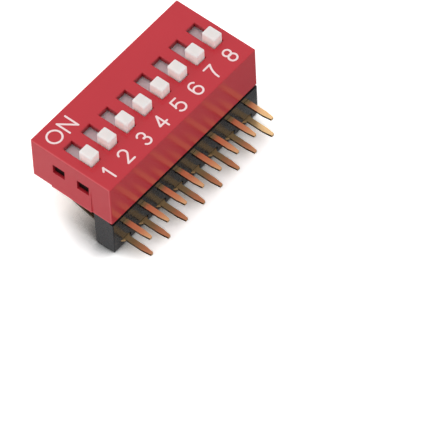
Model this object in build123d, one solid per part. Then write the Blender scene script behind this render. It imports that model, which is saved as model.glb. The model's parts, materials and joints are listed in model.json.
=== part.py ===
from build123d import *
import math
import os

os.makedirs("parts", exist_ok=True)

# Eight-way slide DIP switch for upright mounting, with its leads bent to one side. Millimetres.
# The origin is the centre of the lead grid on the face that seats on the board.
# X runs from position 1 to position 8, Y leads away from the board to the ON side,
# and Z leads out of the slider face.

# Pattern of the switch and its footprint
positions = 8
pitch = 2.54
contact_row_spacing = 7.62
lead_row_spacing = 2.54
rim_above_grid = 2.44
seat_setback = 0.05

# Clearances
fit_clearance = 0.03
slide_clearance = 0.04
foot_clearance = 0.02
lead_clearance = 0.06
wall_clearance = 0.065
overrun = 1.0

# Sheet metal leads
lead_thickness = 0.25
lead_width = 1.28
lead_bend = 0.2
pin_width = 0.6
pin_length = 3.2
tip_length = 1.0
tip_width_share = 0.58
tip_radius = 0.08
shoulder_run = 0.05
shoulder_recess = 0.12
shoulder_slope_degrees = 45
outer_drop = 1.3

# Bridging contact spring
wiper_thickness = 0.12
wiper_width = 1.0
wiper_flat = 1.2
wiper_drop = 0.62
wiper_slope_degrees = 35
wiper_curl_rise = 0.25
wiper_foot_radius = 0.25
wiper_bend_radius = 0.2
contact_margin = 0.4

# Slider
travel = 1.9
knob_length = 1.54
knob_width = 1.2
knob_rise = 1.15
knob_top_radius = 0.16
knob_corner_chamfer = 0.1
flange_width = 1.5
flange_thickness = 0.55
flange_drop = 0.1
flange_cover = 0.17
carrier_width = 1.2
stake_width = 0.5
stake_length = 0.4
stake_rise = 0.1

# Base
base_recess = 0.4
base_thickness = 1.1
latch_arm = 0.28
latch_margin = 0.1
barb_recess = 0.25
barb_lead_share = 0.45

# Housing
housing_height = 5.2
top_wall = 0.62
long_wall = 0.83
end_wall = 0.61
pocket_end_gap = 0.08
housing_edge_radius = 0.12
slot_chamfer = 0.07
panel_proud = 0.1
panel_margin = 0.25
panel_top_margin = 0.05
window_width = 1.45
window_height = 1.17
window_sill = 2.33
window_spacing = 2.95

# Resin that seals the base's underside
potting_recess = 0.1
potting_sag = 0.13
potting_brim = 0.2

# Spacer bar
spacer_thickness = 2.35
spacer_foot = 0.69
spacer_end_inset = 0.05
spacer_edge_radius = 0.1
seam_gap = 0.06
rebate_height = 0.26
rebate_depth = 0.4

# Places along X
last_x = (positions - 1) / 2 * pitch
position_x = [i * pitch - last_x for i in range(positions)]

# Slider and slot, centred on the slider face
slot_length = knob_length + travel + 2 * slide_clearance
slot_width = knob_width + 2 * slide_clearance
flange_length = slot_length + travel + 2 * flange_cover
pocket_width = flange_width + 2 * slide_clearance
pocket_length = flange_length + travel + 2 * pocket_end_gap

# Heights of the stack, from the housing's rim up to the spring and from its face down to the slider
wiper_slope = math.radians(wiper_slope_degrees)
wiper_foot_lift = wiper_foot_radius * (1 / math.cos(wiper_slope) - 1)
wiper_height = wiper_drop + wiper_thickness - wiper_foot_lift
rim_z = rim_above_grid
base_z = rim_z + base_recess
base_top_z = base_z + base_thickness
pad_top_z = base_top_z + lead_thickness
foot_z = pad_top_z + foot_clearance
carrier_z = foot_z + wiper_height
face_z = rim_z + housing_height
ceiling_z = face_z - top_wall
flange_top_z = ceiling_z - flange_drop
flange_z = flange_top_z - flange_thickness

# Housing box and the places that follow it
cavity_width = contact_row_spacing + lead_thickness + 2 * wall_clearance
housing_width = cavity_width + 2 * long_wall
cavity_length = 2 * last_x + pocket_width + 2 * (latch_arm + fit_clearance)
housing_length = cavity_length + 2 * end_wall
middle_y = seat_setback + housing_width / 2
off_y = middle_y - travel / 2
inner_leg_y = middle_y - contact_row_spacing / 2
outer_leg_y = middle_y + contact_row_spacing / 2
inner_row_z = lead_row_spacing / 2
outer_row_z = -lead_row_spacing / 2
bend_radius = lead_bend + lead_thickness / 2

# Contact pads, set by where the spring's feet stand at each end of the travel
foot_y = wiper_flat / 2 + wiper_drop / math.tan(wiper_slope)
pad_inner_end_y = middle_y + travel / 2 - foot_y + contact_margin
pad_outer_start_y = middle_y - travel / 2 + foot_y + contact_margin
pad_z = base_top_z + lead_thickness / 2

# Spacer bar
spacer_length = housing_length - 2 * spacer_end_inset
spacer_top_z = rim_z - seam_gap
spacer_bottom_z = outer_row_z - spacer_foot
inner_shoulder_y = inner_leg_y - bend_radius - shoulder_run
spacer_front = inner_shoulder_y - fit_clearance

# Latch windows
window_y = [middle_y - window_spacing / 2, middle_y + window_spacing / 2]
window_z = rim_z + window_sill
window_top_z = window_z + window_height
panel_width = window_spacing + window_width + 2 * panel_margin
latch_width = window_spacing + window_width + 2 * latch_margin
latch_top_z = window_top_z + latch_margin


def block(x0, x1, y0, y1, z0, z1):
    size = Box(x1 - x0, y1 - y0, z1 - z0, align=(Align.MIN, Align.MIN, Align.MIN))
    return Pos(x0, y0, z0) * size


def bent_strip(points, radius, thickness, width):
    path = FilletPolyline(*points, radius=radius)
    return extrude(Plane.YZ * trace(path, line_width=thickness), amount=width / 2, both=True)


def lead_pin(start_y, row_z):
    half = pin_width / 2
    tip_half = half * tip_width_share
    outline = Polyline(
        (-half, start_y),
        (-half, tip_length - pin_length),
        (-tip_half, -pin_length),
        (tip_half, -pin_length),
        (half, tip_length - pin_length),
        (half, start_y),
        close=True,
    )
    shape = make_face(outline)
    shape = fillet(shape.vertices().group_by(Axis.Y)[0], tip_radius)
    return extrude(Pos(0, 0, row_z) * shape, amount=lead_thickness / 2, both=True)


def inner_path(end_y):
    return [
        (pad_inner_end_y, pad_z),
        (inner_leg_y, pad_z),
        (inner_leg_y, inner_row_z),
        (end_y, inner_row_z),
    ]


def outer_path(end_y):
    knee_y = spacer_front
    return [
        (pad_outer_start_y, pad_z),
        (outer_leg_y, pad_z),
        (outer_leg_y, rim_z - outer_drop),
        (knee_y, outer_row_z),
        (end_y, outer_row_z),
    ]


def make_inner_terminal():
    strip = bent_strip(inner_path(inner_shoulder_y), bend_radius, lead_thickness, lead_width)
    return strip + lead_pin(inner_shoulder_y, inner_row_z)


def make_outer_terminal():
    strip = bent_strip(outer_path(shoulder_recess), bend_radius, lead_thickness, lead_width)
    # sloping shoulders narrow the strip to the pin as it leaves the spacer
    shoulder_width = (lead_width - pin_width) / 2
    neck_y = shoulder_recess - shoulder_width * math.tan(math.radians(shoulder_slope_degrees))
    outline = Polyline(
        (-lead_width / 2, shoulder_recess),
        (-pin_width / 2, neck_y),
        (pin_width / 2, neck_y),
        (lead_width / 2, shoulder_recess),
        close=True,
    )
    shoulders = extrude(Pos(0, 0, outer_row_z) * make_face(outline), amount=lead_thickness / 2, both=True)
    return strip + shoulders + lead_pin(neck_y, outer_row_z)


def make_wiper():
    plate_z = carrier_z - wiper_thickness / 2
    foot_line_z = plate_z - wiper_drop
    curl_y = foot_y + wiper_curl_rise / math.tan(wiper_slope)
    points = [
        (-curl_y, foot_line_z + wiper_curl_rise),
        (-foot_y, foot_line_z),
        (-wiper_flat / 2, plate_z),
        (wiper_flat / 2, plate_z),
        (foot_y, foot_line_z),
        (curl_y, foot_line_z + wiper_curl_rise),
    ]
    radii = [wiper_foot_radius, wiper_bend_radius, wiper_bend_radius, wiper_foot_radius]
    strip = bent_strip(points, radii, wiper_thickness, wiper_width)
    hole_width = stake_width + 2 * fit_clearance
    hole_length = stake_length + 2 * fit_clearance
    hole = Pos(0, 0, plate_z) * Box(hole_width, hole_length, overrun)
    return Pos(0, off_y, 0) * (strip - hole)


def make_slider():
    knob_top_z = face_z + knob_rise
    knob = block(
        -knob_width / 2,
        knob_width / 2,
        -knob_length / 2,
        knob_length / 2,
        flange_z,
        knob_top_z,
    )
    knob = chamfer(knob.edges().filter_by(Axis.Z), knob_corner_chamfer)
    knob = fillet(knob.edges().group_by(Axis.Z)[-1], knob_top_radius)
    flange = block(
        -flange_width / 2,
        flange_width / 2,
        -flange_length / 2,
        flange_length / 2,
        flange_z,
        flange_top_z,
    )
    flange = chamfer(flange.edges().filter_by(Axis.Z), knob_corner_chamfer)
    carrier = block(
        -carrier_width / 2,
        carrier_width / 2,
        -wiper_flat / 2 + wiper_bend_radius,
        wiper_flat / 2 - wiper_bend_radius,
        carrier_z,
        flange_z,
    )
    stake_height = wiper_thickness + stake_rise
    stake = Pos(0, 0, carrier_z - stake_height / 2) * Box(stake_width, stake_length, stake_height)
    return Pos(0, off_y, 0) * (knob + flange + carrier + stake)


def make_base():
    half_length = cavity_length / 2 - fit_clearance
    half_width = cavity_width / 2 - fit_clearance
    plate = block(
        -half_length,
        half_length,
        middle_y - half_width,
        middle_y + half_width,
        base_z,
        base_top_z,
    )
    notch_half = lead_width / 2 + lead_clearance
    land_half = lead_width / 2
    leg_inside = lead_thickness / 2 + lead_bend + lead_clearance
    for x in position_x:
        plate -= block(
            x - notch_half,
            x + notch_half,
            middle_y - half_width - overrun,
            inner_leg_y + leg_inside,
            base_z - overrun,
            base_top_z + overrun,
        )
        plate -= block(
            x - notch_half,
            x + notch_half,
            outer_leg_y - leg_inside,
            middle_y + half_width + overrun,
            base_z - overrun,
            base_top_z + overrun,
        )
        plate += block(
            x - land_half,
            x + land_half,
            pad_inner_end_y + lead_clearance,
            pad_outer_start_y - lead_clearance,
            base_top_z,
            pad_top_z,
        )
    for side in (-1, 1):
        plate += make_latch(side, half_length)
    return plate


def make_latch(side, half_length):
    arm = block(
        half_length - latch_arm,
        half_length,
        middle_y - latch_width / 2,
        middle_y + latch_width / 2,
        base_top_z,
        latch_top_z,
    )
    barb_out = housing_length / 2 - barb_recess
    barb_low = window_z + fit_clearance
    barb_high = window_top_z - fit_clearance
    ramp_z = barb_high - barb_lead_share * window_height
    barb_profile = make_face(
        Polyline(
            (half_length - latch_arm / 2, barb_low),
            (barb_out, barb_low),
            (barb_out, ramp_z),
            (half_length, barb_high),
            (half_length - latch_arm / 2, barb_high),
            close=True,
        )
    )
    barb_half = window_width / 2 - lead_clearance
    for y in window_y:
        # the XZ plane's normal points to -Y
        barb = extrude(Plane.XZ * barb_profile, amount=barb_half, both=True)
        arm += Pos(0, y, 0) * barb
    if side < 0:
        arm = mirror(arm, about=Plane.YZ)
    return arm


def make_potting():
    half_length = cavity_length / 2 - fit_clearance
    half_width = cavity_width / 2 - fit_clearance
    potting_z = rim_z + potting_recess
    resin = block(
        -half_length,
        half_length,
        middle_y - half_width,
        middle_y + half_width,
        potting_z,
        base_z,
    )
    # the surface sags between the walls that the resin wets
    sag_half = half_width - potting_brim
    sag_radius = (sag_half**2 + potting_sag**2) / (2 * potting_sag)
    sag_place = Pos(0, middle_y, potting_z + potting_sag - sag_radius)
    resin -= sag_place * Rot(0, 90, 0) * Cylinder(sag_radius, 2 * (half_length - potting_brim))
    notch_half = lead_width / 2 + fit_clearance
    leg_inside = lead_thickness / 2 + fit_clearance
    for x in position_x:
        resin -= block(
            x - notch_half,
            x + notch_half,
            middle_y - half_width - overrun,
            inner_leg_y + leg_inside,
            potting_z - overrun,
            base_z + overrun,
        )
        resin -= block(
            x - notch_half,
            x + notch_half,
            outer_leg_y - leg_inside,
            middle_y + half_width + overrun,
            potting_z - overrun,
            base_z + overrun,
        )
    return resin


def make_end_panels(half_length):
    # each panel leans out from the wall above the windows to the rim
    panel_top_z = window_top_z + panel_top_margin
    profile = make_face(
        Polyline(
            (0, rim_z),
            (half_length + panel_proud, rim_z),
            (half_length, panel_top_z),
            (0, panel_top_z),
            close=True,
        )
    )
    panel = Pos(0, middle_y, 0) * extrude(Plane.XZ * profile, amount=panel_width / 2, both=True)
    return panel + mirror(panel, about=Plane.YZ)


def make_housing():
    half_length = housing_length / 2
    shell = block(
        -half_length,
        half_length,
        seat_setback,
        seat_setback + housing_width,
        rim_z,
        face_z,
    )
    top_edges = shell.edges().group_by(Axis.Z)[-1]
    shell = fillet(top_edges + shell.edges().filter_by(Axis.Z), housing_edge_radius)
    shell += make_end_panels(half_length)
    shell -= block(
        -cavity_length / 2,
        cavity_length / 2,
        middle_y - cavity_width / 2,
        middle_y + cavity_width / 2,
        rim_z - overrun,
        base_top_z + fit_clearance,
    )
    for x in position_x:
        shell -= block(
            x - pocket_width / 2,
            x + pocket_width / 2,
            middle_y - pocket_length / 2,
            middle_y + pocket_length / 2,
            base_top_z,
            ceiling_z,
        )
        # relief for the bends where the pads turn down into the leads
        shell -= block(
            x - pocket_width / 2,
            x + pocket_width / 2,
            middle_y - cavity_width / 2,
            middle_y + cavity_width / 2,
            base_top_z,
            pad_top_z + lead_clearance,
        )
        shell -= block(
            x - slot_width / 2,
            x + slot_width / 2,
            middle_y - slot_length / 2,
            middle_y + slot_length / 2,
            flange_z,
            face_z + overrun,
        )
    latch_inside = last_x + flange_width / 2
    for side in (-1, 1):
        ends = sorted([side * latch_inside, side * cavity_length / 2])
        shell -= block(
            *ends,
            middle_y - latch_width / 2 - fit_clearance,
            middle_y + latch_width / 2 + fit_clearance,
            base_top_z,
            latch_top_z + fit_clearance,
        )
        ends = sorted([side * latch_inside, side * (half_length + overrun)])
        for y in window_y:
            shell -= block(
                *ends,
                y - window_width / 2,
                y + window_width / 2,
                window_z,
                window_top_z,
            )
    mouth = shell.edges().filter_by_position(Axis.Z, face_z, face_z)
    mouth = mouth.filter_by_position(Axis.X, -last_x - slot_width, last_x + slot_width)
    mouth = mouth.filter_by_position(Axis.Y, middle_y - slot_length, middle_y + slot_length)
    return chamfer(mouth, slot_chamfer)


def make_spacer():
    bar = block(
        -spacer_length / 2,
        spacer_length / 2,
        0,
        spacer_thickness,
        spacer_bottom_z,
        spacer_top_z,
    )
    bar = fillet(bar.edges().filter_by(Axis.X) + bar.edges().filter_by(Axis.Z), spacer_edge_radius)
    # a rebate keeps the seat's edge clear of the housing
    bar -= block(
        -spacer_length / 2 - overrun,
        spacer_length / 2 + overrun,
        -overrun,
        rebate_depth,
        spacer_top_z - rebate_height,
        spacer_top_z + overrun,
    )
    channel_half = lead_width / 2 + lead_clearance
    hole_half = pin_width / 2 + lead_clearance
    hole_rise = lead_thickness / 2 + lead_clearance
    slot = bent_strip(
        outer_path(-overrun),
        bend_radius,
        lead_thickness + 2 * lead_clearance,
        lead_width + 2 * lead_clearance,
    )
    for x in position_x:
        bar -= block(
            x - channel_half,
            x + channel_half,
            spacer_front,
            spacer_thickness + overrun,
            inner_row_z - hole_rise,
            spacer_top_z + overrun,
        )
        bar -= block(
            x - hole_half,
            x + hole_half,
            -overrun,
            spacer_front + overrun,
            inner_row_z - hole_rise,
            inner_row_z + hole_rise,
        )
        bar -= Pos(x, 0, 0) * slot
    return bar


def write(shape, name):
    export_step(shape, f"parts/{name}.step")


inner_terminal = make_inner_terminal()
outer_terminal = make_outer_terminal()
wiper = make_wiper()
slider = make_slider()

write(make_housing(), "housing")
write(make_base(), "base")
write(make_potting(), "potting")
write(make_spacer(), "spacer")
for number, x in enumerate(position_x, start=1):
    write(Pos(x, 0, 0) * slider, f"slider_{number}")
    write(Pos(x, 0, 0) * wiper, f"wiper_{number}")
    write(Pos(x, 0, 0) * inner_terminal, f"terminal_inner_{number}")
    write(Pos(x, 0, 0) * outer_terminal, f"terminal_outer_{number}")
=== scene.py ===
import json
import math

import bpy
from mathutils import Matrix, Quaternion, Vector


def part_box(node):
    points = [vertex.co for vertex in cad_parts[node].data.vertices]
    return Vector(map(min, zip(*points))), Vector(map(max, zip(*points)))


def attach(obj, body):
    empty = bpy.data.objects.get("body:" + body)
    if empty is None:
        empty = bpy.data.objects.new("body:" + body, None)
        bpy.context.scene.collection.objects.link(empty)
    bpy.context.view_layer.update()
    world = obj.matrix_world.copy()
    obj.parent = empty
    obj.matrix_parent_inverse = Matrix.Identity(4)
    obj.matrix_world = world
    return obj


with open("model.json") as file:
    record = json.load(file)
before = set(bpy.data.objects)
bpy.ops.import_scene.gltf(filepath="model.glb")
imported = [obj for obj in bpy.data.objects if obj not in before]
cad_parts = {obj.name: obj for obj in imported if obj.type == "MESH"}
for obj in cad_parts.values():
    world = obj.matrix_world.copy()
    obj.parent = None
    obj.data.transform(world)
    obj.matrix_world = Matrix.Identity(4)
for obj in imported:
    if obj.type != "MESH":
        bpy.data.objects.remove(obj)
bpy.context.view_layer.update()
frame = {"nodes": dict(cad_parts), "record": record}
mm = 0.001
cloudDetail = 3.0  # octaves of the cloudy patterns
print("frame loaded:", len(frame["nodes"]), "nodes")


# colours are written as sRGB hex and shaded in linear light
def hexToLinear(code):
    channels = [int(code[i : i + 2], 16) / 255 for i in (1, 3, 5)]
    linear = [c / 12.92 if c <= 0.04045 else ((c + 0.055) / 1.055) ** 2.4 for c in channels]
    return (*linear, 1.0)


# adds one node; an input that is another node's socket is linked, any other is set
def addNode(tree, kind, inputs=None, **settings):
    node = tree.nodes.new(kind)
    for name, value in settings.items():
        setattr(node, name, value)
    for name, value in (inputs or {}).items():
        if isinstance(value, bpy.types.NodeSocket):
            tree.links.new(value, node.inputs[name])
        else:
            node.inputs[name].default_value = value
    return node


def startMaterial(name):
    material = bpy.data.materials.new(name)
    material.use_nodes = True
    tree = material.node_tree
    coords = addNode(tree, "ShaderNodeTexCoord").outputs["Object"]
    return material, tree, tree.nodes["Principled BSDF"], coords


# blends two colours by one pattern, sets a range of roughness by a second and a relief by a third
def dressShader(tree, shader, finish, colourBy, roughBy, reliefBy):
    colour = addNode(tree, "ShaderNodeMix", {
        0: colourBy,
        6: hexToLinear(finish["colour"]),
        7: hexToLinear(finish["otherColour"]),
    }, data_type="RGBA")
    rough = addNode(tree, "ShaderNodeMapRange", {
        "Value": roughBy,
        "To Min": finish["smoothest"],
        "To Max": finish["roughest"],
    })
    bump = addNode(tree, "ShaderNodeBump", {"Height": reliefBy, "Distance": finish["relief"]})
    tree.links.new(colour.outputs[2], shader.inputs["Base Color"])
    tree.links.new(rough.outputs[0], shader.inputs["Roughness"])
    tree.links.new(bump.outputs[0], shader.inputs["Normal"])
    return colour.outputs[2]


# moulded PBT, pigmented red: smooth, mirrors the leads softly, with a painted highlight round the edges of
# its ends and painted shade in its recesses
redPbt = {
    "colour": "#C42E3A",
    "otherColour": "#BC2B36",
    "paintedShadeColour": "#96202A",  # painted shade for the walls of the slots and windows
    "paintedShadeFrom": 0.12 * mm,  # depths below the skin
    "paintedShadeFull": 0.35 * mm,
    "paintedHighlightColour": "#E4656B",  # painted highlight along the edges of the ends
    "paintedHighlightWidth": 0.2 * mm,
    "cloudSize": 5.0 * mm,
    "grainSize": 0.14 * mm,  # eroded texture is nearer 0.03 mm, drawn coarser so that it shows
    "relief": 0.0016 * mm,
    "smoothest": 0.15,
    "roughest": 0.24,
    "sheen": 0.34,
}


def makeRedPbt():
    material, tree, shader, coords = startMaterial("mouldedRedPbt")
    clouds = addNode(tree, "ShaderNodeTexNoise", {
        "Vector": coords, "Scale": 1 / redPbt["cloudSize"], "Detail": cloudDetail}).outputs["Fac"]
    grain = addNode(tree, "ShaderNodeTexNoise", {
        "Vector": coords, "Scale": 1 / redPbt["grainSize"]}).outputs["Fac"]
    skin = dressShader(tree, shader, redPbt, clouds, clouds, grain)
    low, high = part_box("housing")
    offMiddle = addNode(tree, "ShaderNodeVectorMath", {
        0: coords, 1: (low + high) / 2}, operation="SUBTRACT").outputs[0]
    spread = addNode(tree, "ShaderNodeVectorMath", {0: offMiddle}, operation="ABSOLUTE").outputs[0]
    inward = addNode(tree, "ShaderNodeVectorMath", {
        0: (high - low) / 2, 1: spread}, operation="SUBTRACT").outputs[0]
    axes = addNode(tree, "ShaderNodeSeparateXYZ", {0: inward}).outputs
    beside = addNode(tree, "ShaderNodeMath", {0: axes["Y"], 1: axes["Z"]}, operation="MINIMUM").outputs[0]
    depth = addNode(tree, "ShaderNodeMath", {0: axes["X"], 1: beside}, operation="MINIMUM").outputs[0]
    fromEdge = addNode(tree, "ShaderNodeMath", {0: axes["X"], 1: beside}, operation="MAXIMUM").outputs[0]
    # painted shade: the red darkens with depth below the skin, in the slots and windows
    paintedShade = addNode(tree, "ShaderNodeMapRange", {
        "Value": depth, "From Min": redPbt["paintedShadeFrom"], "From Max": redPbt["paintedShadeFull"]}).outputs[0]
    # painted highlight: paler red along the edges of the ends
    edge = addNode(tree, "ShaderNodeMapRange", {
        "Value": fromEdge, "From Min": redPbt["paintedHighlightWidth"], "From Max": 0.0}).outputs[0]
    skinWithPaintedShade = addNode(tree, "ShaderNodeMix", {
        0: paintedShade, 6: skin, 7: hexToLinear(redPbt["paintedShadeColour"])}, data_type="RGBA").outputs[2]
    colour = addNode(tree, "ShaderNodeMix", {
        0: edge, 6: skinWithPaintedShade, 7: hexToLinear(redPbt["paintedHighlightColour"])}, data_type="RGBA")
    tree.links.new(colour.outputs[2], shader.inputs["Base Color"])
    shader.inputs["Specular IOR Level"].default_value = redPbt["sheen"]
    return material


# moulded glass-filled nylon, black: a satin skin whose sheen picks up the leads, with paler fibre specks
blackNylon = {
    "colour": "#151517",
    "otherColour": "#232326",
    "speckSize": 0.22 * mm,
    "grainSize": 0.3 * mm,
    "relief": 0.003 * mm,
    "smoothest": 0.2,
    "roughest": 0.34,
    "sheen": 0.35,
}

# moulded polyester, black with a red cast that is a painted reflection of the red walls: a dull skin that
# stays dark behind the windows
blackPolyester = {
    # the red in these colours is painted reflection of the housing walls
    "colour": "#120506",
    "otherColour": "#1C090A",
    "speckSize": 0.25 * mm,
    "grainSize": 0.2 * mm,
    "relief": 0.004 * mm,
    "smoothest": 0.45,
    "roughest": 0.6,
    "sheen": 0.05,
}


def makeMouldedBlack(name, finish):
    material, tree, shader, coords = startMaterial(name)
    specks = addNode(tree, "ShaderNodeTexNoise", {
        "Vector": coords, "Scale": 1 / finish["speckSize"], "Detail": cloudDetail}).outputs["Fac"]
    grain = addNode(tree, "ShaderNodeTexNoise", {
        "Vector": coords, "Scale": 1 / finish["grainSize"]}).outputs["Fac"]
    dressShader(tree, shader, finish, specks, grain, grain)
    shader.inputs["Specular IOR Level"].default_value = finish["sheen"]
    return material


# poured epoxy, black: wet gloss over slow swells where it climbs the leads
blackEpoxy = {
    "colour": "#0C0C0D",
    "otherColour": "#17161A",
    "swellSize": 1.3 * mm,
    "swellDetail": 1.0,
    "relief": 0.12 * mm,
    "smoothest": 0.06,
    "roughest": 0.16,
    "ior": 1.55,
}


def makeBlackEpoxy():
    material, tree, shader, coords = startMaterial("pouredBlackEpoxy")
    swells = addNode(tree, "ShaderNodeTexNoise", {
        "Vector": coords, "Scale": 1 / blackEpoxy["swellSize"],
        "Detail": blackEpoxy["swellDetail"]}).outputs["Fac"]
    dressShader(tree, shader, blackEpoxy, swells, swells, swells)
    shader.inputs["IOR"].default_value = blackEpoxy["ior"]
    return material


# moulded nylon, natural white: milky, so that its sides glow as bright as its top, with painted warm light
# on its sides towards the foot and painted shade on the flange in the slot
whiteNylon = {
    "colour": "#E8E5E3",
    "otherColour": "#DEDAD8",
    # painted light: the sides paler and pinker towards the foot, standing for light bounced off the red face
    "paintedBounceColour": "#FFEFEB",
    "paintedBounceFrom": 1.12 * mm,  # heights above the housing's face
    "paintedBounceFull": 0.6 * mm,
    "paintedShadeColour": "#D4BEC2",  # painted shade on the flange in the slot
    "paintedShadeFrom": -0.1 * mm,
    "paintedShadeFull": -0.6 * mm,
    "cloudSize": 0.9 * mm,
    "grainSize": 0.12 * mm,
    "relief": 0.003 * mm,
    "smoothest": 0.4,
    "roughest": 0.52,
    "ior": 1.53,
    "milk": 1.0,  # share of the light that enters
    "milkDepth": 1.0 * mm,
    "milkReach": (1.0, 0.88, 0.84),
}


def makeWhiteNylon():
    material, tree, shader, coords = startMaterial("mouldedWhiteNylon")
    clouds = addNode(tree, "ShaderNodeTexNoise", {
        "Vector": coords, "Scale": 1 / whiteNylon["cloudSize"], "Detail": cloudDetail}).outputs["Fac"]
    grain = addNode(tree, "ShaderNodeTexNoise", {
        "Vector": coords, "Scale": 1 / whiteNylon["grainSize"]}).outputs["Fac"]
    skin = dressShader(tree, shader, whiteNylon, clouds, clouds, grain)
    height = addNode(tree, "ShaderNodeSeparateXYZ", {0: coords}).outputs["Z"]
    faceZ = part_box("housing")[1].z
    colour = skin
    # painted warm light on the sides towards the foot, then painted shade on the flange in the slot
    for band in ("paintedBounce", "paintedShade"):
        share = addNode(tree, "ShaderNodeMapRange", {
            "Value": height,
            "From Min": faceZ + whiteNylon[band + "From"],
            "From Max": faceZ + whiteNylon[band + "Full"],
        }).outputs[0]
        colour = addNode(tree, "ShaderNodeMix", {
            0: share, 6: colour, 7: hexToLinear(whiteNylon[band + "Colour"])}, data_type="RGBA").outputs[2]
    tree.links.new(colour, shader.inputs["Base Color"])
    shader.inputs["IOR"].default_value = whiteNylon["ior"]
    shader.inputs["Subsurface Weight"].default_value = whiteNylon["milk"]
    shader.inputs["Subsurface Scale"].default_value = whiteNylon["milkDepth"]
    shader.inputs["Subsurface Radius"].default_value = whiteNylon["milkReach"]
    return material


# gold plate over rolled strip: warm bright metal with faint rolling lines, duller where the press cut it and
# darkened there further as painted shade
goldPlate = {
    "colour": "#FAD6A0",
    "otherColour": "#F0C088",
    "cutMetalAndShadeColour": "#503D29",  # bare metal on the faces across X, where the press cut the plated strip, drawn darker than bare brass as painted shade
    "cutFrom": 0.6,  # shares of the normal that lie along X
    "cutFull": 0.9,
    "patchSize": 0.8 * mm,
    "lineSize": 0.07 * mm,  # across the strip, which lies across X
    "lineLength": 2.5 * mm,
    "relief": 0.0012 * mm,
    "smoothest": 0.24,
    "roughest": 0.38,
}


def makeGoldPlate(name):
    material, tree, shader, coords = startMaterial(name)
    patches = addNode(tree, "ShaderNodeTexNoise", {
        "Vector": coords, "Scale": 1 / goldPlate["patchSize"]}).outputs["Fac"]
    stretch = goldPlate["lineSize"] / goldPlate["lineLength"]
    along = addNode(tree, "ShaderNodeMapping", {"Vector": coords, "Scale": (1, stretch, stretch)}).outputs[0]
    lines = addNode(tree, "ShaderNodeTexNoise", {
        "Vector": along, "Scale": 1 / goldPlate["lineSize"]}).outputs["Fac"]
    plated = dressShader(tree, shader, goldPlate, patches, lines, lines)
    normal = addNode(tree, "ShaderNodeNewGeometry").outputs["Normal"]
    acrossX = addNode(tree, "ShaderNodeSeparateXYZ", {0: normal}).outputs["X"]
    sideways = addNode(tree, "ShaderNodeMath", {0: acrossX}, operation="ABSOLUTE").outputs[0]
    cut = addNode(tree, "ShaderNodeMapRange", {
        "Value": sideways, "From Min": goldPlate["cutFrom"], "From Max": goldPlate["cutFull"]}).outputs[0]
    colour = addNode(tree, "ShaderNodeMix", {
        0: cut, 6: plated, 7: hexToLinear(goldPlate["cutMetalAndShadeColour"])}, data_type="RGBA")
    tree.links.new(colour.outputs[2], shader.inputs["Base Color"])
    shader.inputs["Metallic"].default_value = 1.0
    return material


# pad-printed ink, white: thin matt film that the red below tints where it is thinnest
whiteInk = {
    "colour": "#F6E6E6",
    "otherColour": "#F0CFD0",
    "patchSize": 0.25 * mm,
    "relief": 0.002 * mm,
    "smoothest": 0.42,
    "roughest": 0.6,
}


def makeWhiteInk():
    material, tree, shader, coords = startMaterial("padPrintedWhiteInk")
    patches = addNode(tree, "ShaderNodeTexNoise", {
        "Vector": coords, "Scale": 1 / whiteInk["patchSize"], "Detail": cloudDetail}).outputs["Fac"]
    dressShader(tree, shader, whiteInk, patches, patches, patches)
    return material


slotMaterials = {
    "housing_red": makeRedPbt(),
    "base_black": makeMouldedBlack("mouldedBlackPolyester", blackPolyester),
    "potting_black": makeBlackEpoxy(),
    "spacer_black": makeMouldedBlack("mouldedBlackNylon", blackNylon),
    "slider_white": makeWhiteNylon(),
    "legend_white": makeWhiteInk(),
    "lead_gold": makeGoldPlate("goldPlatedBrass"),
    "wiper_bronze": makeGoldPlate("goldPlatedBronze"),
}

for part in frame["record"]["subparts"]:
    for slot in frame["nodes"][part["node"]].material_slots:
        slot.material = slotMaterials[part["material_slot"]]
print("finishes on:", ", ".join(sorted(slotMaterials)))


# printed legend: each glyph is pen strokes about its own centre, in shares of the digit's height and width
legend = {
    "pen": 0.2 * mm,
    "film": 0.02 * mm,
    "filmSunk": 0.004 * mm,  # depth of its underside below the face
    "height": 1.55 * mm,  # between pen centres
    "width": 0.9 * mm,
    "digitStart": -0.07 * mm,  # from the first position
    "digitPitch": 2.505 * mm,
    "strayed": {"2": (-0.12 * mm, 0.05 * mm)},  # printed a little out of line
    "digitsBelowMiddle": 3.4 * mm,
    "onAboveMiddle": 3.25 * mm,
    "letterO": -0.07 * mm,  # places along X from the first position
    "letterN": 1.78 * mm,
    "letterORadius": 0.75 * mm,
    "letterNWidth": 1.2 * mm,
    "letterNHeight": 1.63 * mm,
    "tightest": 0.0005 * mm,  # points nearer to each other than this are one
    "flatDegrees": 1.0,  # faces that turn less than this are one
    "halfwaySlack": 1e-9,  # counts the points on a dab's middle line as leading
    "rimSteps": 20,
    "arcStepDegrees": 12,
    "fewestArcSteps": 4,
    "ringSteps": 48,
}


def pickOnly(piece):
    bpy.ops.object.select_all(action="DESELECT")
    piece.select_set(True)
    bpy.context.view_layer.objects.active = piece


# a round dab of the pen whose leading half is picked, ready to be drawn along
def startStroke(place, heading):
    bpy.ops.object.select_all(action="DESELECT")
    bpy.ops.mesh.primitive_circle_add(
        vertices=legend["rimSteps"], radius=legend["pen"] / 2, fill_type="NGON", location=place)
    stroke = bpy.context.object
    bpy.ops.object.transform_apply(location=True, rotation=True, scale=True)
    for vertex in stroke.data.vertices:
        vertex.select = (vertex.co - place).dot(heading) > -legend["halfwaySlack"]
    for edge in stroke.data.edges:
        edge.select = all(stroke.data.vertices[v].select for v in edge.vertices)
    for face in stroke.data.polygons:
        face.select = False
    bpy.ops.object.mode_set(mode="EDIT")
    bpy.ops.mesh.select_mode(type="EDGE")
    return stroke


def lineStroke(start, end):
    stroke = startStroke(start, end - start)
    bpy.ops.transform.translate(value=end - start)
    return stroke


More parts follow.
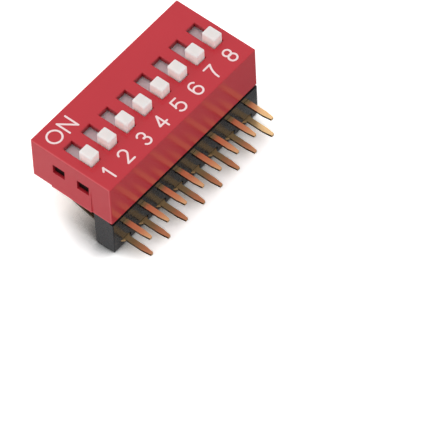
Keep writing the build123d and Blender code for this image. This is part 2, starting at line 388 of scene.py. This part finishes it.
def arcStroke(centre, radius, fromDegrees, sweepDegrees):
    angle = math.radians(fromDegrees)
    outward = Vector((math.cos(angle), math.sin(angle), 0))
    turn = math.copysign(1, sweepDegrees)
    heading = turn * Vector((-outward.y, outward.x, 0))
    stroke = startStroke(centre + radius * outward, heading)
    bpy.ops.mesh.spin(
        steps=max(legend["fewestArcSteps"], round(abs(sweepDegrees) / legend["arcStepDegrees"])),
        angle=-math.radians(sweepDegrees), center=centre, axis=(0, 0, 1))  # spin turns clockwise
    return stroke


def ringStroke(centre, radius):
    bpy.ops.object.select_all(action="DESELECT")
    bpy.ops.mesh.primitive_circle_add(
        vertices=legend["ringSteps"], radius=radius + legend["pen"] / 2, fill_type="NGON", location=centre)
    stroke = bpy.context.object
    bpy.ops.object.transform_apply(location=True, rotation=True, scale=True)
    bpy.ops.object.mode_set(mode="EDIT")
    bpy.ops.mesh.select_all(action="SELECT")
    bpy.ops.mesh.inset(thickness=legend["pen"])
    bpy.ops.mesh.delete(type="FACE")
    return stroke


# merges what nearly touches and joins what lies in one plane
def cleanFaces():
    bpy.ops.object.mode_set(mode="EDIT")
    bpy.ops.mesh.select_all(action="SELECT")
    bpy.ops.mesh.remove_doubles(threshold=legend["tightest"])
    bpy.ops.mesh.dissolve_degenerate(threshold=legend["tightest"])
    bpy.ops.mesh.dissolve_limited(angle_limit=math.radians(legend["flatDegrees"]))
    bpy.ops.mesh.normals_make_consistent(inside=False)
    bpy.ops.object.mode_set(mode="OBJECT")


# gives the flat stroke the ink's thickness
def closeStroke(stroke):
    bpy.ops.object.mode_set(mode="EDIT")
    bpy.ops.mesh.select_all(action="SELECT")
    bpy.ops.mesh.remove_doubles(threshold=legend["tightest"])
    bpy.ops.mesh.extrude_region_move(TRANSFORM_OT_translate={"value": (0, 0, legend["film"])})
    bpy.ops.mesh.select_all(action="SELECT")
    bpy.ops.mesh.normals_make_consistent(inside=False)
    bpy.ops.object.mode_set(mode="OBJECT")


strokeMakers = {"line": lineStroke, "arc": arcStroke, "ring": ringStroke}


# draws the strokes and welds them into one film
def makeGlyph(name, middle, strokes):
    pile = bpy.data.collections.new(name)
    pieces = []
    for kind, places, *rest in strokes:
        points = [middle + Vector((x, y, 0)) for x, y in places]
        pieces.append(strokeMakers[kind](*points, *rest))
        closeStroke(pieces[-1])
    glyph, *others = pieces
    for stroke in others:
        pile.objects.link(stroke)
    pickOnly(glyph)
    if others:
        weld = glyph.modifiers.new("weld", "BOOLEAN")
        weld.operation = "UNION"
        weld.solver = "EXACT"
        weld.operand_type = "COLLECTION"
        weld.collection = pile
        bpy.ops.object.modifier_apply(modifier=weld.name)
        cleanFaces()
    for stroke in others:
        bpy.data.objects.remove(stroke)
    bpy.data.collections.remove(pile)
    glyph.name = name
    glyph.data.materials.append(slotMaterials["legend_white"])
    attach(glyph, "switch_body")


top = legend["height"] / 2
side = legend["width"] / 2
footOfSeven = -0.25 * side
reachOfSeven = side - footOfSeven
stemOfSeven = (reachOfSeven ** 2 + (2 * top) ** 2) / (2 * reachOfSeven)  # upright at its foot
digits = {
    "1": [
        ("line", [(-0.6 * side, 0.55 * top), (0.1 * side, top)]),
        ("line", [(0.1 * side, top), (0.1 * side, -top)]),
    ],
    "2": [
        ("arc", [(0, top - side)], side, 165, -207),
        ("line", [(0.74 * side, top - 1.67 * side), (-side, -top)]),
        ("line", [(-side, -top), (side, -top)]),
    ],
    "3": [
        ("arc", [(0, 0.5 * top)], 0.5 * top, 155, -245),
        ("arc", [(0, -0.46 * top)], 0.54 * top, 90, -245),
    ],
    "4": [
        ("line", [(0.4 * side, top), (-1.1 * side, -0.36 * top)]),
        ("line", [(-1.1 * side, -0.36 * top), (1.1 * side, -0.36 * top)]),
        ("line", [(0.4 * side, top), (0.4 * side, -top)]),
    ],
    "5": [
        ("line", [(0.85 * side, top), (-0.7 * side, top)]),
        ("line", [(-0.7 * side, top), (-0.9 * side, 0.03 * top)]),
        ("arc", [(0, -0.36 * top)], 0.64 * top, 155, -305),
    ],
    "6": [
        ("ring", [(0, -0.4 * top)], 0.6 * top),
        ("arc", [(0, 0.42 * top)], 0.58 * top, 35, 145),
        ("line", [(-0.6 * top, 0.42 * top), (-0.6 * top, -0.4 * top)]),
    ],
    "7": [
        ("line", [(-side, top), (side, top)]),
        ("arc", [(footOfSeven + stemOfSeven, -top)], stemOfSeven, 180,
            -math.degrees(math.asin(2 * top / stemOfSeven))),
    ],
    "8": [
        ("ring", [(0, 0.5 * top)], 0.5 * top),
        ("ring", [(0, -0.45 * top)], 0.55 * top),
    ],
}

housingLow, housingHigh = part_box("housing")
knobLow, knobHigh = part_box("slider_1")
firstX = (knobLow.x + knobHigh.x) / 2
middleY = (housingLow.y + housingHigh.y) / 2
printZ = housingHigh.z - legend["filmSunk"]

for mark, strokes in digits.items():
    strayX, strayY = legend["strayed"].get(mark, (0, 0))
    digitX = firstX + legend["digitStart"] + (int(mark) - 1) * legend["digitPitch"] + strayX
    digitY = middleY - legend["digitsBelowMiddle"] + strayY
    makeGlyph(f"legend_{mark}", Vector((digitX, digitY, printZ)), strokes)

wordPlace = Vector((firstX, middleY + legend["onAboveMiddle"], printZ))
makeGlyph("legend_letter_o", wordPlace + Vector((legend["letterO"], 0, 0)), [
    ("ring", [(0, 0)], legend["letterORadius"]),
])
halfN = legend["letterNWidth"] / 2
topN = legend["letterNHeight"] / 2
makeGlyph("legend_letter_n", wordPlace + Vector((legend["letterN"], 0, 0)), [
    ("line", [(-halfN, -topN), (-halfN, topN)]),
    ("line", [(-halfN, topN), (halfN, -topN)]),
    ("line", [(halfN, -topN), (halfN, topN)]),
])
print("legend printed")


# studio: a light tent on a white floor, with a weak lamp
studio = {
    "floorColour": "#F0F0F0",
    "shadedColour": "#A8A8A8",  # painted shade and reflection: a grey strip before the leads, which their side mirrors; white to the camera
    "shadedMiddle": -13.25 * mm,
    "shadedReach": 11.75 * mm,
    "floorSeen": (1.65, 1.65, 1.65, 1.0),  # overexposed to the camera, so that only near shadows show
    "floorSize": 3.0,
    "floorGap": 0.25 * mm,  # a hair below the part, for a dark line of shadow under it
    "contactReach": 5.0 * mm,  # within which the camera sees the floor darkened by painted contact shade
    "contactFull": 0.33,  # shares of open sky
    "contactNone": 0.79,
    "contactDarkest": 0.02,
    "contactLean": (0.85, -0.75),  # tilts the painted shade as if the light came from this side
    "contactSamples": 16,
    "skyLevel": 0.9,
    "lampPlace": (-0.3, 0.1, 0.35),
    "lampSize": 0.4,
    "lampWatts": 0.3,
}


# white to the camera apart from painted shade near the part, and pale with a painted grey strip to
# everything else
def makeFloor():
    bpy.ops.object.select_all(action="DESELECT")
    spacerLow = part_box("spacer")[0]
    bpy.ops.mesh.primitive_plane_add(
        size=studio["floorSize"], location=(0, 0, spacerLow.z - studio["floorGap"]))
    floor = bpy.context.object
    floor.name = "studioFloor"
    material, tree, shader, coords = startMaterial("paleStudioFloor")
    acrossY = addNode(tree, "ShaderNodeSeparateXYZ", {0: coords}).outputs["Y"]
    # painted shade: a grey strip on the floor, seen only by the light and in reflections
    shaded = addNode(tree, "ShaderNodeMath", {
        0: acrossY, 1: studio["shadedMiddle"], 2: studio["shadedReach"]}, operation="COMPARE").outputs[0]
    unseen = addNode(tree, "ShaderNodeMix", {
        0: shaded,
        6: hexToLinear(studio["floorColour"]),
        7: hexToLinear(studio["shadedColour"]),
    }, data_type="RGBA").outputs[2]
    leanX, leanY = studio["contactLean"]
    lean = addNode(tree, "ShaderNodeCombineXYZ", {"X": leanX, "Y": leanY, "Z": 1.0}).outputs[0]
    openness = addNode(tree, "ShaderNodeAmbientOcclusion", {
        "Distance": studio["contactReach"], "Normal": lean}, samples=studio["contactSamples"]).outputs["AO"]
    # painted shadow: the floor's colour to the camera darkens where the part shuts out the sky
    contact = addNode(tree, "ShaderNodeMapRange", {
        "Value": openness,
        "From Min": studio["contactFull"],
        "From Max": studio["contactNone"],
        "To Min": studio["contactDarkest"],
    }).outputs[0]
    seen = addNode(tree, "ShaderNodeMix", {
        0: contact, 6: hexToLinear("#000000"), 7: studio["floorSeen"]}, data_type="RGBA").outputs[2]
    colour = addNode(tree, "ShaderNodeMix", {
        0: addNode(tree, "ShaderNodeLightPath").outputs["Is Camera Ray"],
        6: unseen,
        7: seen,
    }, data_type="RGBA")
    tree.links.new(colour.outputs[2], shader.inputs["Base Color"])
    shader.inputs["Roughness"].default_value = 1.0
    shader.inputs["Specular IOR Level"].default_value = 0.0
    floor.data.materials.append(material)


# lights the part at skyLevel, and shows as plain white to the camera and in mirrors
def makeSky():
    world = bpy.data.worlds.new("studioSky")
    world.use_nodes = True
    tree = world.node_tree
    path = addNode(tree, "ShaderNodeLightPath").outputs
    seen = addNode(tree, "ShaderNodeMath", {
        0: path["Is Camera Ray"], 1: path["Is Glossy Ray"]}, operation="MAXIMUM")
    level = addNode(tree, "ShaderNodeMapRange", {
        "Value": seen.outputs[0], "To Min": studio["skyLevel"], "To Max": 1.0})
    tree.links.new(level.outputs[0], tree.nodes["Background"].inputs["Strength"])
    tree.nodes["Background"].inputs["Color"].default_value = (1, 1, 1, 1)
    bpy.context.scene.world = world


def makeLamp():
    bpy.ops.object.light_add(type="AREA", location=studio["lampPlace"])
    lamp = bpy.context.object
    lamp.name = "weakSoftbox"
    lamp.data.shape = "DISK"
    lamp.data.size = studio["lampSize"]
    lamp.data.energy = studio["lampWatts"]
    lamp.rotation_euler = Vector(studio["lampPlace"]).to_track_quat("Z", "Y").to_euler()
    lamp.visible_camera = False


makeFloor()
makeSky()
makeLamp()
print("studio lit")


# camera at the photograph's viewing angle
cameraSetup = {
    "target": (-4.314 * mm, -8.031 * mm, 3.0 * mm),
    "distance": 521.45 * mm,
    "azimuth": -48.02,
    "elevation": 53.48,
    "roll": -2.906,
    "lens": 456.2,
    "sensor": 36.0,
    "nearest": 0.01,
    "farthest": 10.0,
}


def makeCamera():
    turn = math.radians(cameraSetup["azimuth"])
    rise = math.radians(cameraSetup["elevation"])
    back = Vector((math.sin(turn) * math.cos(rise), -math.cos(turn) * math.cos(rise), math.sin(rise)))
    bpy.ops.object.camera_add(location=Vector(cameraSetup["target"]) + back * cameraSetup["distance"])
    camera = bpy.context.object
    camera.name = "photoCamera"
    camera.data.lens = cameraSetup["lens"]
    camera.data.sensor_width = cameraSetup["sensor"]
    camera.data.clip_start = cameraSetup["nearest"]
    camera.data.clip_end = cameraSetup["farthest"]
    camera.rotation_mode = "QUATERNION"
    roll = Quaternion((0, 0, 1), math.radians(cameraSetup["roll"]))
    camera.rotation_quaternion = (-back).to_track_quat("-Z", "Y") @ roll
    bpy.context.scene.camera = camera


makeCamera()
bpy.context.scene.view_settings.view_transform = "Standard"
